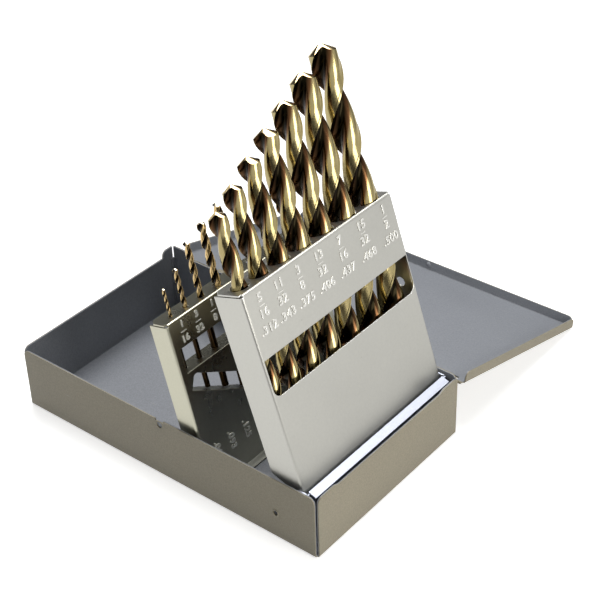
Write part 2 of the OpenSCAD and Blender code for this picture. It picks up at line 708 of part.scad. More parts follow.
module drill_1_16() { placed_drill(0); }
module drill_3_32() { placed_drill(1); }
module drill_1_8() { placed_drill(2); }
module drill_5_32() { placed_drill(3); }
module drill_3_16() { placed_drill(4); }
module drill_7_32() { placed_drill(5); }
module drill_1_4() { placed_drill(6); }
module drill_9_32() { placed_drill(7); }
module drill_5_16() { placed_drill(8); }
module drill_11_32() { placed_drill(9); }
module drill_3_8() { placed_drill(10); }
module drill_13_32() { placed_drill(11); }
module drill_7_16() { placed_drill(12); }
module drill_15_32() { placed_drill(13); }
module drill_1_2() { placed_drill(14); }

base_tray();
lid();
hinge_pin();
front_rack();
rear_rack();
front_bracket();
rear_bracket();
front_rivets();
rear_rivets();
drill_1_16();
drill_3_32();
drill_1_8();
drill_5_32();
drill_3_16();
drill_7_32();
drill_1_4();
drill_9_32();
drill_5_16();
drill_11_32();
drill_3_8();
drill_13_32();
drill_7_16();
drill_15_32();
drill_1_2();
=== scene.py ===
# %% [markdown]
# # A folding drill bit case
# The real case is pressed from thin sheet steel: a painted tray and lid, two zinc plated racks that stand up
# out of the tray, and fifteen twist drills with a gold oxide skin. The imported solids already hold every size,
# so this lesson only dresses them: it rounds the sheets' cut edges and bends, grinds real flutes into the
# drills, stamps the size numbers and mixes the finishes.

import math

import bmesh
import bpy
import numpy as np
from mathutils import Matrix, Vector


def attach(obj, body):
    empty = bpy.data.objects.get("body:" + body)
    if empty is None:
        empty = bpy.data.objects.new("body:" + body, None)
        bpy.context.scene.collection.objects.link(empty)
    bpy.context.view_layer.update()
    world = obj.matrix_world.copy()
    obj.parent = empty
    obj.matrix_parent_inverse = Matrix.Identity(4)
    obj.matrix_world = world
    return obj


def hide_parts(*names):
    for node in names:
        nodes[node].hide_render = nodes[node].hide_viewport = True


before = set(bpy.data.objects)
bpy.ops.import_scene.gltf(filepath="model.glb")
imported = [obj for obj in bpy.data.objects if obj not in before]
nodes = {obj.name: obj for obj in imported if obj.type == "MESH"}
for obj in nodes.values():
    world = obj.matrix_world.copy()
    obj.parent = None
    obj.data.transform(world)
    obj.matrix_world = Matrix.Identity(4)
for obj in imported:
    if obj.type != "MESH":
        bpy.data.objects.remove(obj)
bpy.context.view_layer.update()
MM = 0.001

# %% [markdown]
# The photograph was taken from the case's right front corner, about 35 degrees above the table, with a long
# lens. A camera is a point, a direction and a lens. They were worked out from the places of the tray's corners,
# the rack's corners and the drills' points in the picture, and are written here as numbers, so the render can
# be laid over it.

# %% The camera
LENS_PIXELS, AZIMUTH, ELEVATION, ROLL = 1501.57, 39.712, 34.679, -1.858
SHIFT_RIGHT, SHIFT_UP, DISTANCE = 28.483, 38.041, 687.285
AIM = Vector((0, 0, 20))
PICTURE_WIDTH, SENSOR_WIDTH = 600, 36


def photo_camera():
    """Looks along -back from a point DISTANCE behind the aim, which is shifted to the right and up (mm)."""
    a, e, r = (math.radians(v) for v in (AZIMUTH, ELEVATION, ROLL))
    back = Vector((math.sin(a) * math.cos(e), -math.cos(a) * math.cos(e), math.sin(e)))
    right = Vector((math.cos(a), math.sin(a), 0))
    up = back.cross(right)
    right, up = right * math.cos(r) + up * math.sin(r), up * math.cos(r) - right * math.sin(r)
    place = AIM + right * SHIFT_RIGHT + up * SHIFT_UP + back * DISTANCE
    data = bpy.data.cameras.new("photo_camera")
    data.sensor_width = SENSOR_WIDTH
    data.lens = SENSOR_WIDTH * LENS_PIXELS / PICTURE_WIDTH
    data.clip_start, data.clip_end = 0.01, 50
    camera = bpy.data.objects.new("photo_camera", data)
    bpy.context.scene.collection.objects.link(camera)
    camera.matrix_world = Matrix.Translation(place * MM) @ Matrix((right, up, back)).transposed().to_4x4()
    return camera


bpy.context.scene.camera = photo_camera()
bpy.context.scene.view_settings.view_transform = "Standard"
print("lens in mm:", round(bpy.context.scene.camera.data.lens, 1))

# %% [markdown]
# Each rack has its own small frame: its pivot is the origin, x points out of its face, y runs along the tray's
# width and z goes up the rack, which leans back. A point in that frame is turned by the lean and moved to the
# pivot. The eight small drills stand in the rear rack, each in a hole as deep as its row needs, and the seven
# large ones in the front rack, on its shelf.

# %% The racks' own frames and the drills' sizes
FRONT = {"pivot": (76.3, 28.6), "lean": 18.3, "face": 2.2, "row": -5.3, "top": 91.0, "body": "front_rack"}
REAR = {"pivot": (23.3, 10.0), "lean": 14.3, "face": 2.6, "row": -2.3, "top": 75.0, "body": "rear_rack"}
RACK_WIDTH = 97.8
SMALL = 8
SHORTEST_HOLD, LONGEST_HOLD, FRONT_REST, REST_GAP = 34.8, 75.0, 9.0, 0.05
INCH = 25.4
SIZES = ["1/16", "3/32", "1/8", "5/32", "3/16", "7/32", "1/4", "9/32",
         "5/16", "11/32", "3/8", "13/32", "7/16", "15/32", "1/2"]
LENGTHS = INCH * np.array([1.875, 2.25, 2.75, 3.125, 3.5, 3.75, 4, 4.25, 4.5, 4.75, 5, 5.25, 5.5, 5.75, 6])
FLUTES = INCH * np.array([0.875, 1.25, 1.625, 2, 2.3125, 2.5, 2.75, 2.9375, 3.5, 3.75, 4, 4.25, 4.5, 4.75, 5])
DIAMETERS = (np.arange(len(SIZES)) + 2) * INCH / 32


def row_places(diameters):
    """Middles of drills that stand in a rack with equal gaps between them and at both ends."""
    gap = (RACK_WIDTH - diameters.sum()) / (len(diameters) + 1)
    return -RACK_WIDTH / 2 + gap * np.arange(1, len(diameters) + 1) + np.cumsum(diameters) - diameters / 2


def in_rack(points, rack):
    """Millimetres in a rack's own frame to metres in the shared one: turned by the lean, moved to the pivot."""
    x, y, z = np.asarray(points, float).T
    c, s = math.cos(math.radians(rack["lean"])), math.sin(math.radians(rack["lean"]))
    return np.stack([rack["pivot"][0] + c * x - s * z, y, rack["pivot"][1] + s * x + c * z], 1) * MM


places = np.concatenate([row_places(DIAMETERS[:SMALL]), row_places(DIAMETERS[SMALL:])])
near_sides = (places - DIAMETERS / 2)[:SMALL]
up_the_row = (near_sides - near_sides[0]) / (near_sides[-1] - near_sides[0])
hold = SHORTEST_HOLD + (LONGEST_HOLD - SHORTEST_HOLD) * up_the_row
rests = np.concatenate([REAR["top"] - hold, np.full(len(SIZES) - SMALL, FRONT_REST)]) + REST_GAP
print("rests in mm:", np.round(rests, 2).tolist())

# %% [markdown]
# Finishes, world and floor are graphs of nodes. A few helpers keep their code short: each adds a node, joins or
# sets its inputs, and hands back the socket with the answer, so that graphs read like sums.

# %% Helpers for nodes


def link(tree, a, b):
    """Joins an output socket to an input socket."""
    tree.links.new(a, b)


def put(tree, value, socket):
    """Joins an input socket to a value that is another node's output, or sets it to a plain value."""
    if isinstance(value, bpy.types.NodeSocket):
        link(tree, value, socket)
    else:
        socket.default_value = value


def add(tree, kind, **sockets):
    """Adds a node of that kind and gives its named inputs their values."""
    node = tree.nodes.new(kind)
    for name, value in sockets.items():
        put(tree, value, node.inputs[name.replace("_", " ")])
    return node


def math_node(tree, operation, a, b=None, clamp=False):
    """The answer of a Math node; a and b are numbers or sockets."""
    node = tree.nodes.new("ShaderNodeMath")
    node.operation, node.use_clamp = operation, clamp
    put(tree, a, node.inputs[0])
    if b is not None:
        put(tree, b, node.inputs[1])
    return node.outputs[0]


def vector_node(tree, operation, *operands):
    """The outputs of a Vector Math node; the operands are vectors or sockets."""
    node = tree.nodes.new("ShaderNodeVectorMath")
    node.operation = operation
    for socket, value in zip(node.inputs, operands):
        put(tree, value, socket)
    return node.outputs


def along(tree, vector, direction):
    """How far a vector socket reaches in a direction."""
    return vector_node(tree, "DOT_PRODUCT", vector, direction)["Value"]


def spread(tree, value, start, end, low, high, smooth=False):
    """Carries a value from the range start-end over to low-high, and holds it at those outside the range."""
    node = add(tree, "ShaderNodeMapRange", From_Min=start, From_Max=end, To_Min=low, To_Max=high)
    if smooth:
        node.interpolation_type = "SMOOTHSTEP"
    link(tree, value, node.inputs["Value"])
    return node.outputs["Result"]


def mix_shaders(tree, factor, a, b):
    """A Mix Shader: a where the factor is 0, b where it is 1; a and b are nodes or sockets."""
    node = add(tree, "ShaderNodeMixShader")
    for socket, value in zip(node.inputs, (factor, a, b)):
        link(tree, value.outputs[0] if isinstance(value, bpy.types.Node) else value, socket)
    return node.outputs[0]


def seen_directly(tree, rays):
    """1 for rays that the camera sends, also through something clear, and 0 for all others."""
    return math_node(tree, "MAXIMUM", rays["Is Camera Ray"], rays["Is Transmission Ray"])


WHITE = (1, 1, 1, 1)
print("helpers:", [f.__name__ for f in (link, put, add, math_node, vector_node, along, spread, mix_shaders)])

# %% [markdown]
# A picture of a product on white has a big soft light from above and from its bright side. The world is white
# where the camera looks at it and weak as a light, so paint renders about as bright as its own colour. Plated
# metal needs something dark to reflect, or it looks like plaster: to glossy rays the world is bright only
# towards the lamps' side and fades to nearly black on the other.

# %% The world
scene = bpy.context.scene
world = bpy.data.worlds.new("studio")
scene.world = world
world.use_nodes = True
wt = world.node_tree
wt.nodes.clear()
BRIGHT_SIDE = Vector((0.55, -0.25, 0.8)).normalized()

towards = along(wt, add(wt, "ShaderNodeTexCoord").outputs["Generated"], BRIGHT_SIDE)
glow = spread(wt, towards, -0.25, 0.75, 0.05, 1.0, smooth=True)
rays = add(wt, "ShaderNodeLightPath").outputs
soft = add(wt, "ShaderNodeBackground", Color=(0.95, 0.97, 1.0, 1), Strength=0.12)
seen = add(wt, "ShaderNodeBackground", Color=WHITE, Strength=1.0)
mirrored = add(wt, "ShaderNodeBackground", Color=WHITE, Strength=glow)
unseen = mix_shaders(wt, rays["Is Glossy Ray"], soft, mirrored)
whole = mix_shaders(wt, seen_directly(wt, rays), unseen, seen)
link(wt, whole, add(wt, "ShaderNodeOutputWorld").inputs["Surface"])
print("world nodes:", len(wt.nodes))

# %% [markdown]
# Three soft boxes light the case: a warm one low on its right, which the racks' faces and the right wall see, a
# large one above and behind, and a weak cool one at the front left that keeps the front wall from going flat.

# %% The lamps


def softbox(name, place, aim, size, watts, colour=(1, 1, 1)):
    """A square area lamp at place, turned to look at aim, in metres."""
    data = bpy.data.lights.new(name, "AREA")
    data.shape = "SQUARE"
    data.size = size
    data.energy = watts
    data.color = colour
    lamp = bpy.data.objects.new(name, data)
    scene.collection.objects.link(lamp)
    lamp.location = place
    lamp.rotation_mode = "QUATERNION"
    lamp.rotation_quaternion = (Vector(aim) - Vector(place)).to_track_quat("-Z", "Y")
    return lamp


lamps = [softbox("key_light", (0.64, -0.06, 0.28), (0.04, 0.0, 0.04), 0.36, 2.5, (1.0, 0.98, 0.94)),
         softbox("back_light", (-0.25, 0.42, 1.2), (0, 0.03, 0.03), 0.9, 17.0),
         softbox("front_fill", (-0.35, -1.2, 0.6), (0, 0, 0.05), 0.8, 0.7, (0.96, 0.98, 1.0))]
print("lamps:", [lamp.name for lamp in lamps])

# %% [markdown]
# The floor is white paper. For the camera it glows more the further it is from the case, so it runs into the
# white of the world and still keeps the case's soft shadow. For glossy rays it is a stage set of its own: it
# fades from the camera's left to its right, is brighter again at the far right, and is nearly black in a wedge
# that opens away from the case on the camera's side. The wedge stands for a dark room behind the camera, and
# gives the metal something dark to mirror.

# %% The floor
FLOOR_HALF, FLOOR_DOWN = 6, -0.0002
corners = [(sx * FLOOR_HALF, sy * FLOOR_HALF, FLOOR_DOWN) for sx, sy in ((-1, -1), (1, -1), (1, 1), (-1, 1))]
floor_mesh = bpy.data.meshes.new("floor")
floor_mesh.from_pydata(corners, [], [(0, 1, 2, 3)])
floor = bpy.data.objects.new("floor", floor_mesh)
scene.collection.objects.link(floor)
paper = bpy.data.materials.new("floor_paper")
paper.use_nodes = True
pt = paper.node_tree
pt.nodes.clear()

spot = add(pt, "ShaderNodeTexCoord").outputs["Object"]
far = vector_node(pt, "LENGTH", spot)["Value"]
across, ahead = along(pt, spot, (0.707, 0.707, 0)), along(pt, spot, (0.707, -0.707, 0))
slope = spread(pt, across, -0.1, 0.15, 1.22, 0.83)
rise = spread(pt, across, 0.15, 0.38, 1.0, 1.3)
wedge = math_node(pt, "SUBTRACT", ahead, math_node(pt, "MULTIPLY", math_node(pt, "ABSOLUTE", across), 0.9))
dark = spread(pt, wedge, 0.12, 0.4, 1.0, 0.05, smooth=True)
level = math_node(pt, "MULTIPLY", math_node(pt, "MULTIPLY", slope, rise), dark)

matt = add(pt, "ShaderNodeBsdfDiffuse", Color=(0.9, 0.9, 0.9, 1))
lit = add(pt, "ShaderNodeEmission", Color=WHITE, Strength=spread(pt, far, 0.3, 0.9, 0.6, 1.0))
set_piece = add(pt, "ShaderNodeEmission", Color=WHITE, Strength=level)
glowing = add(pt, "ShaderNodeAddShader")
link(pt, matt.outputs[0], glowing.inputs[0])
link(pt, lit.outputs[0], glowing.inputs[1])
paper_rays = add(pt, "ShaderNodeLightPath").outputs
paper_unseen = mix_shaders(pt, paper_rays["Is Glossy Ray"], matt, set_piece)
paper_whole = mix_shaders(pt, seen_directly(pt, paper_rays), paper_unseen, glowing)
link(pt, paper_whole, add(pt, "ShaderNodeOutputMaterial").inputs["Surface"])
floor_mesh.materials.append(paper)
print("floor nodes:", len(pt.nodes))

# %% [markdown]
# Several finishes share the same effects: a soft unevenness of tone, a fine relief, thin scratches, and a mask
# for the inside of a box. Each effect is a node group with named inputs, built once. A group only puts out
# values; the shader itself stays in the material.

# %% Shared effects as node groups


def effect(name, inputs, outputs):
    """Starts a shader node group from (name, kind, value) inputs and (name, kind) outputs.

    Returns the tree, the sockets that bring its inputs and the sockets that take its outputs."""
    tree = bpy.data.node_groups.new(name, "ShaderNodeTree")
    for label, kind, value in inputs:
        socket = tree.interface.new_socket(name=label, in_out="INPUT", socket_type=kind)
        if value is not None:
            socket.default_value = value
    for label, kind in outputs:
        tree.interface.new_socket(name=label, in_out="OUTPUT", socket_type=kind)
    return tree, tree.nodes.new("NodeGroupInput").outputs, tree.nodes.new("NodeGroupOutput").inputs


FLOAT, VECTOR = "NodeSocketFloat", "NodeSocketVector"


def noise(tree, where, scale, **settings):
    """The outputs of a Noise texture at a place."""
    node = add(tree, "ShaderNodeTexNoise", **settings)
    put(tree, where, node.inputs["Vector"])
    put(tree, scale, node.inputs["Scale"])
    return node.outputs


mottle, m_in, m_out = effect(
    "Mottle", [("Vector", VECTOR, None), ("Scale", FLOAT, 40.0), ("Amount", FLOAT, 0.1)], [("Value", FLOAT)])
m_noise = noise(mottle, m_in["Vector"], m_in["Scale"], Detail=5.0, Roughness=0.6)
m_scaled = math_node(mottle, "MULTIPLY", math_node(mottle, "SUBTRACT", m_noise[0], 0.5), m_in["Amount"])
link(mottle, math_node(mottle, "ADD", m_scaled, 1.0), m_out["Value"])

relief, r_in, r_out = effect(
    "Fine relief", [("Vector", VECTOR, None), ("Scale", FLOAT, 800.0), ("Depth", FLOAT, 0.2),
                    ("Stretch", VECTOR, (1, 1, 1))], [("Height", FLOAT)])
r_stretched = vector_node(relief, "MULTIPLY", r_in["Vector"], r_in["Stretch"])[0]
r_noise = noise(relief, r_stretched, r_in["Scale"], Detail=3.0, Roughness=0.55)
link(relief, math_node(relief, "MULTIPLY", r_noise[0], r_in["Depth"]), r_out["Height"])

WARP = (0.004, 0.004, 0.004)
scratch, s_in, s_out = effect(
    "Scratches", [("Vector", VECTOR, None), ("Scale", FLOAT, 60.0), ("Share", FLOAT, 0.03),
                  ("Stretch", VECTOR, (1, 12, 12))], [("Mask", FLOAT)])
s_warp = noise(scratch, s_in["Vector"], 25.0, Detail=1.0)["Color"]
s_bent = vector_node(scratch, "MULTIPLY_ADD", s_warp, WARP, s_in["Vector"])[0]
s_stretched = vector_node(scratch, "MULTIPLY", s_bent, s_in["Stretch"])[0]
s_noise = noise(scratch, s_stretched, s_in["Scale"], Detail=2.0, Roughness=0.7)
s_over = math_node(scratch, "SUBTRACT", s_noise[0], math_node(scratch, "SUBTRACT", 0.78, s_in["Share"]))
link(scratch, math_node(scratch, "MULTIPLY", s_over, 14.0, clamp=True), s_out["Mask"])

box_mask, b_in, b_out = effect(
    "Inside of a box", [("Vector", VECTOR, None), ("Low", VECTOR, (0, 0, 0)), ("High", VECTOR, (1, 1, 1))],
    [("Mask", FLOAT)])
b_low = vector_node(box_mask, "SUBTRACT", b_in["Vector"], b_in["Low"])[0]
b_high = vector_node(box_mask, "SUBTRACT", b_in["High"], b_in["Vector"])[0]
b_least = vector_node(box_mask, "MINIMUM", b_low, b_high)[0]
b_parts = add(box_mask, "ShaderNodeSeparateXYZ", Vector=b_least).outputs
b_small = math_node(box_mask, "MINIMUM", math_node(box_mask, "MINIMUM", b_parts[0], b_parts[1]), b_parts[2])
link(box_mask, math_node(box_mask, "MULTIPLY", b_small, 20000.0, clamp=True), b_out["Mask"])
print("effects:", [g.name for g in bpy.data.node_groups])

# %% [markdown]
# A finish is a Principled shader whose colour, roughness and relief change over the surface. The helpers below
# put the shared effects in a material and mix, scale or spread their values. Colours are written as screen
# numbers, as a picture editor shows them, and turned into the linear ones that Blender calculates with.

# %% Helpers for materials


def srgb(r, g, b):
    """A colour in 0-255 screen numbers as the linear colour that Blender's sockets take."""
    c = np.array([r, g, b], float) / 255
    c = np.where(c <= 0.04045, c / 12.92, ((c + 0.055) / 1.055) ** 2.4)
    return (*c.tolist(), 1.0)


def place_effect(tree, group, **sockets):
    """Puts an effect in a material, gives its named inputs their values and returns its output."""
    node = tree.nodes.new("ShaderNodeGroup")
    node.node_tree = group
    for name, value in sockets.items():
        put(tree, value, node.inputs[name.replace("_", " ")])
    return node.outputs[0]


def mix_colours(tree, factor, a, b):
    """A Mix node for colours: a where the factor is 0, b where it is 1; each is a value or a socket."""
    node = tree.nodes.new("ShaderNodeMix")
    node.data_type = "RGBA"
    for index, value in ((0, factor), (6, a), (7, b)):
        put(tree, value, node.inputs[index])
    return node.outputs[2]


def new_material(name):
    """A material with only a Principled shader; returns it, its tree, the shader and the Object coordinates."""
    m = bpy.data.materials.new(name)
    m.use_nodes = True
    tree = m.node_tree
    shader = next(n for n in tree.nodes if n.type == "BSDF_PRINCIPLED")
    return m, tree, shader, tree.nodes.new("ShaderNodeTexCoord").outputs["Object"]


def scale_colour(tree, colour, value):
    """Multiplies a colour by a grey value that changes over the surface."""
    node = tree.nodes.new("ShaderNodeVectorMath")
    node.operation = "SCALE"
    put(tree, colour if isinstance(colour, bpy.types.NodeSocket) else colour[:3], node.inputs[0])
    link(tree, value, node.inputs["Scale"])
    return node.outputs[0]


def map_value(tree, value, low, high):
    """Carries a mottle's value, of which the range from 0.9 to 1.1 matters, over to low to high."""
    return spread(tree, value, 0.9, 1.1, low, high)


def add_bump(tree, shader, height, distance):
    """Feeds a height, times distance in metres, to the shader's normal."""
    bump = add(tree, "ShaderNodeBump", Strength=1.0, Distance=distance)
    link(tree, height, bump.inputs["Height"])
    link(tree, bump.outputs[0], shader.inputs["Normal"])


def attribute(tree, name):
    """The value of a mask that the mesh carries on its points."""
    node = tree.nodes.new("ShaderNodeAttribute")
    node.attribute_name = name
    return node.outputs["Fac"]


def paler(colour, times):
    """A linear colour made lighter by a factor."""
    return tuple(min(1, c * times) for c in colour[:3]) + (1,)


print("screen grey 128 as a linear colour:", np.round(srgb(128, 128, 128), 3).tolist())

# %% [markdown]
# The case is sprayed with a taupe grey enamel. Outside it is warm and a little thicker, and inside, where less
# paint lands and the steel's own blue shows, it is cooler. A box that just fits the inside of the tray tells
# the two apart. The paint has an orange peel relief and a few scratches. On the cut edges, and on the tray's
# rim, it is painted paler: a painted highlight.

# %% Paint
OUTSIDE_PAINT, INSIDE_PAINT = srgb(136, 129, 110), srgb(131, 134, 140)
LID_HINGE = (0, 52.55 * MM, 30.05 * MM)
LID_OPEN = math.radians(195.06)


def paint(name, low, high, turned=False, pale=1.0):
    """Enamel: two tones told apart by a box, a soft mottle, fine grain, scratches and orange peel. A pale over
    1 paints both tones lighter, for a painted highlight.

    The lid's box is that of the shut lid, so the open lid's coordinates are turned back about the hinge."""
    m, tree, shader, where = new_material(name)
    place = where
    if turned:
        back = tree.nodes.new("ShaderNodeVectorRotate")
        back.rotation_type = "X_AXIS"
        back.inputs["Center"].default_value = LID_HINGE
        back.inputs["Angle"].default_value = LID_OPEN
        link(tree, where, back.inputs["Vector"])
        place = back.outputs[0]
    inside = place_effect(tree, box_mask, Vector=place, Low=low, High=high)
    two_tone = mix_colours(tree, inside, paler(OUTSIDE_PAINT, pale), paler(INSIDE_PAINT, pale))
    cloud = place_effect(tree, mottle, Vector=where, Scale=14.0, Amount=0.22)
    grain = place_effect(tree, mottle, Vector=where, Scale=1500.0, Amount=0.75)
    marks = place_effect(tree, scratch, Vector=where, Scale=45.0, Share=0.05)
    toned = scale_colour(tree, scale_colour(tree, two_tone, cloud), grain)
    worn = mix_colours(tree, math_node(tree, "MULTIPLY", marks, 0.35), toned, srgb(178, 176, 170))
    link(tree, worn, shader.inputs["Base Color"])
    link(tree, map_value(tree, cloud, 0.42, 0.54), shader.inputs["Roughness"])
    peel = place_effect(tree, relief, Vector=where, Scale=700.0, Depth=1.0)
    add_bump(tree, shader, peel, distance=0.00006)
    shader.inputs["Specular IOR Level"].default_value = 0.45
    return m


TRAY_LOW, TRAY_HIGH = (-0.08605, -0.05105, 0.0005), (0.08605, 0.05105, 0.06)
LID_LOW, LID_HIGH = (-0.0873, -0.0523, 0.02), (0.0873, 0.0509, 0.0325)
tray_paint = paint("tray_enamel", TRAY_LOW, TRAY_HIGH)
# Painted highlight: the tray's edges and rim tops take a paler copy of its enamel.
tray_highlight_edge = paint("tray_highlight_enamel", TRAY_LOW, TRAY_HIGH, pale=1.8)
lid_paint = paint("lid_enamel", LID_LOW, LID_HIGH, turned=True)
# Painted highlight: the lid's edges take a paler copy of its enamel.
lid_highlight_edge = paint("lid_highlight_enamel", LID_LOW, LID_HIGH, turned=True, pale=1.5)
print("enamel, outside and inside:", np.round([OUTSIDE_PAINT[:3], INSIDE_PAINT[:3]], 3).tolist())

# %% [markdown]
# The racks are zinc plated steel: a satin metal with a faint rolled grain along the sheet, cloudy patches and
# small dark specks. The front rack's edges and bends are a brighter copy of its zinc, a painted highlight, and
# the rear rack's are rougher and a darker copy of its face, painted shade. The strip in front of the racks is a
# cooler, cleaner plating, and the bracket under the rear rack is a dark, dull one, painted shade under the
# rack.
# The stamped figures are bright on the front rack and frosted on the rear one. The pin and the rivets are plain
# steel wire.

# %% Plated and plain steel


def plating(name, tone, rough, stretch=(1, 14, 1), clouds=0.14, specks=0.03):
    """Satin metal: a tone with clouds and specks, and a rolled grain that is finest where stretch is large."""
    m, tree, shader, where = new_material(name)
    cloud = place_effect(tree, mottle, Vector=where, Scale=22.0, Amount=clouds)
    fine = place_effect(tree, mottle, Vector=where, Scale=900.0, Amount=clouds)
    speck = place_effect(tree, scratch, Vector=where, Scale=380.0, Share=specks, Stretch=(1, 1, 1))
    toned = scale_colour(tree, scale_colour(tree, tone, cloud), fine)
    specked = mix_colours(tree, math_node(tree, "MULTIPLY", speck, 0.5), toned, srgb(120, 118, 108))
    link(tree, specked, shader.inputs["Base Color"])
    link(tree, map_value(tree, cloud, rough - 0.06, rough + 0.08), shader.inputs["Roughness"])
    shader.inputs["Metallic"].default_value = 1.0
    grain = place_effect(tree, relief, Vector=where, Scale=420.0, Depth=1.0, Stretch=stretch)
    add_bump(tree, shader, grain, distance=0.00002)
    return m


rack_zinc = plating("rack_zinc", srgb(190, 189, 182), 0.36)
# Painted highlight: the front rack's edges and bends are a brighter copy of its zinc.
rack_highlight_edge = plating("rack_highlight_zinc", srgb(226, 226, 222), 0.28)
rear_zinc = plating("rear_rack_zinc", srgb(186, 184, 166), 0.27)
# Painted shade: the rear rack's edges and bends are a darker, rougher copy of its zinc.
rear_shaded_edge = plating("rear_shaded_edge_zinc", srgb(168, 165, 148), 0.46)
strip_zinc = plating("strip_zinc", srgb(182, 186, 198), 0.46, clouds=0.05, specks=0.0)
# Painted shade: the bracket under the rear rack is a dark zinc, for the shade under the rack.
bracket_shade_zinc = plating("bracket_shade_zinc", srgb(122, 122, 114), 0.48)
wire_steel = plating("wire_steel", srgb(190, 190, 186), 0.30, stretch=(1, 1, 14))
stamp_zinc = plating("stamp_zinc", srgb(226, 225, 219), 0.26, clouds=0.05, specks=0.0)
rear_stamp = plating("rear_stamp_zinc", srgb(240, 240, 232), 0.56, clouds=0.05, specks=0.0)

# Painted shade: each stamped figure's sides are coloured dark, as the shade in the corner round it, and its
# tops keep the plating's colour.
SIDE_PAINTED_SHADE = srgb(92, 91, 84)
for figures, metal in ((stamp_zinc, 1.0), (rear_stamp, 0.45)):
    st = figures.node_tree
    stamp_shader = next(n for n in st.nodes if n.type == "BSDF_PRINCIPLED")
    plated_top_colour = stamp_shader.inputs["Base Color"].links[0].from_socket
    link(st, mix_colours(st, attribute(st, "rise"), SIDE_PAINTED_SHADE, plated_top_colour), stamp_shader.inputs["Base Color"])
    stamp_shader.inputs["Metallic"].default_value = metal
print("materials:", [m.name for m in bpy.data.materials])

# %% [markdown]
# A sheet metal edge is never razor sharp: shears and the plating leave a tiny round that catches the light, and
# it is that thin bright line that says "sheet steel". Each sheet solid is copied, its loose triangles are
# merged, flat neighbours are joined, and a Bevel modifier rounds every sharp edge. Sheet can't be folded
# sharply, so the racks' bends get a wider round than their cut edges. The bevel's own faces take the edge
# finish, and so does the tray's cut rim. On the tray, the lid and the front rack that finish is a paler copy of
# the main one, a painted highlight, and on the rear rack a darker one, painted shade.

# %% Sheet pieces with softened edges
# The bend and NEAR are in mm, LOOKING_UP is the z of a face's normal and SAME_POINT is in metres.
RACK_BEND, NEAR, LOOKING_UP = 0.85, 0.05, 0.9
SAME_POINT, SAME_PLANE = 2e-6, math.radians(1.0)
ROUNDED, CREASED = math.radians(35), math.radians(40)


def on_bend(edge, rack, outer):
    """Whether the sheet is bent at an edge of a rack.

    It is where both ends lie on the rack's face and also on its side or on its top."""
    lean, inside = math.radians(rack["lean"]), True
    for vert in edge.verts:
        x, y, z = vert.co.x / MM - rack["pivot"][0], abs(vert.co.y) / MM, vert.co.z / MM - rack["pivot"][1]
        out, up = math.cos(lean) * x + math.sin(lean) * z, math.cos(lean) * z - math.sin(lean) * x
        inside = inside and abs(out - rack["face"]) < NEAR and (y > outer - NEAR or up > rack["top"] - NEAR)
    return inside


def softened(node, body, width, main, edge, rack=None, rim=None):
    """A merged copy of a solid for that node, with its sharp edges rounded by width (mm).

    A rack's bends are rounded by RACK_BEND. Faces that look up from above rim (mm) get the edges' finish."""
    mesh = nodes[node].data.copy()
    mesh.name = node + "_soft"
    bm = bmesh.new()
    bm.from_mesh(mesh)
    bmesh.ops.remove_doubles(bm, verts=bm.verts, dist=SAME_POINT)
    bmesh.ops.dissolve_limit(bm, angle_limit=SAME_PLANE, verts=bm.verts, edges=bm.edges)
    for face in bm.faces:
        face.smooth = True
        on_rim = rim is not None and face.normal.z > LOOKING_UP and face.calc_center_median().z > rim * MM
        face.material_index = 1 if on_rim else 0
    bm.normal_update()
    widest = RACK_BEND if rack else width
    outer = max(abs(v.co.y) for v in bm.verts) / MM
    weight = bm.edges.layers.float.new("bevel_weight_edge")
    for seam in bm.edges:
        if len(seam.link_faces) == 2 and seam.calc_face_angle() > ROUNDED:
            seam[weight] = 1.0 if rack and on_bend(seam, rack, outer) else width / widest
    bm.to_mesh(mesh)
    bm.free()
    mesh.materials.clear()
    mesh.materials.append(main)
    mesh.materials.append(edge)
    mesh.set_sharp_from_angle(angle=CREASED)
    piece = bpy.data.objects.new(node + "_soft", mesh)
    scene.collection.objects.link(piece)
    bevel = piece.modifiers.new("soft edge", "BEVEL")
    bevel.width = widest * MM
    bevel.segments = 3 if rack else 2
    bevel.limit_method = "WEIGHT"
    bevel.harden_normals = True
    bevel.use_clamp_overlap = not rack
    bevel.material = 1
    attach(piece, body)
    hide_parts(node)
    print(node, "faces after joining:", len(mesh.polygons))
    return piece


# Bevels take the second finish: painted highlight on the tray, lid and front rack, painted shade on the rear
# rack.
softened("base_tray", "tray", 0.16, tray_paint, tray_highlight_edge, rim=18.0)
softened("lid", "lid", 0.16, lid_paint, lid_highlight_edge)
softened("front_rack", "front_rack", 0.18, rack_zinc, rack_highlight_edge, FRONT)
softened("rear_rack", "rear_rack", 0.16, rear_zinc, rear_shaded_edge, REAR)
softened("front_bracket", "tray", 0.14, strip_zinc, strip_zinc)
softened("rear_bracket", "tray", 0.12, bracket_shade_zinc, bracket_shade_zinc)
softened("front_rivets", "tray", 0.15, wire_steel, wire_steel)
softened("rear_rivets", "tray", 0.15, wire_steel, wire_steel)
softened("hinge_pin", "tray", 0.15, wire_steel, wire_steel)

# %% [markdown]
# The drills are the showpiece. A twist drill's section is two lands joined by a web. Each land has a sharp
# cutting corner, a narrow margin that touches the hole, a slightly smaller back and a round heel, and a wide
# parabolic flute sweeps from the heel to the next cutting corner. The section is made once as points round the
# axis, in radii.

# %% The drill's section
# Points on each stretch of half a section; the back's radius in radii and its end in degrees; the two webs.
MARGIN, BACK, HEEL, HOLLOW = 5, 12, 14, 27
LAND = MARGIN + BACK + HEEL
CLEARED, BACK_END = 0.955, -46
POINT_WEB, SHANK_WEB = 0.10, 0.30


